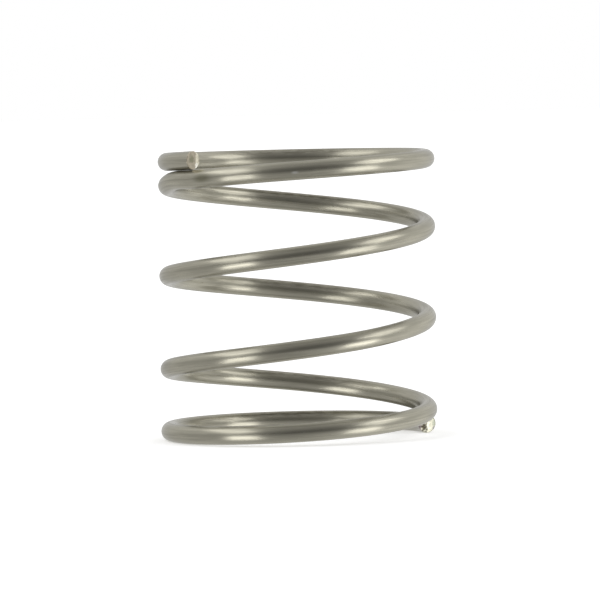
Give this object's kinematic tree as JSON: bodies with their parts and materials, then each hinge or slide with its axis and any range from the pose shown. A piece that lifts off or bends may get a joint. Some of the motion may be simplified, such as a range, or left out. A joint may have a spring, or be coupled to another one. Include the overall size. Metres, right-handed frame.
{
  "type": "pipette spring",
  "caption": "Open helical compression spring of round steel wire with closed, unground ends, wound right-handed to slip over a plunger rod.",
  "frame": {"origin": "on the coil's axis at the height of the lowest point of the lower end turn, where the spring stands", "axes": "+Z along the coil's axis, up to the end turn whose tip is sprung slightly away; +X is 10 degrees short of the lower tip, going round anticlockwise from above"},
  "size_m": [0.0122, 0.012, 0.0126],
  "materials": {
    "spring_steel": "satin drawn wire, slightly warm, with fine lines along the wire and bright sheared tips"
  },
  "bodies": {
    "root": {"coil_spring": "spring_steel"}
  },
  "joints": []
}
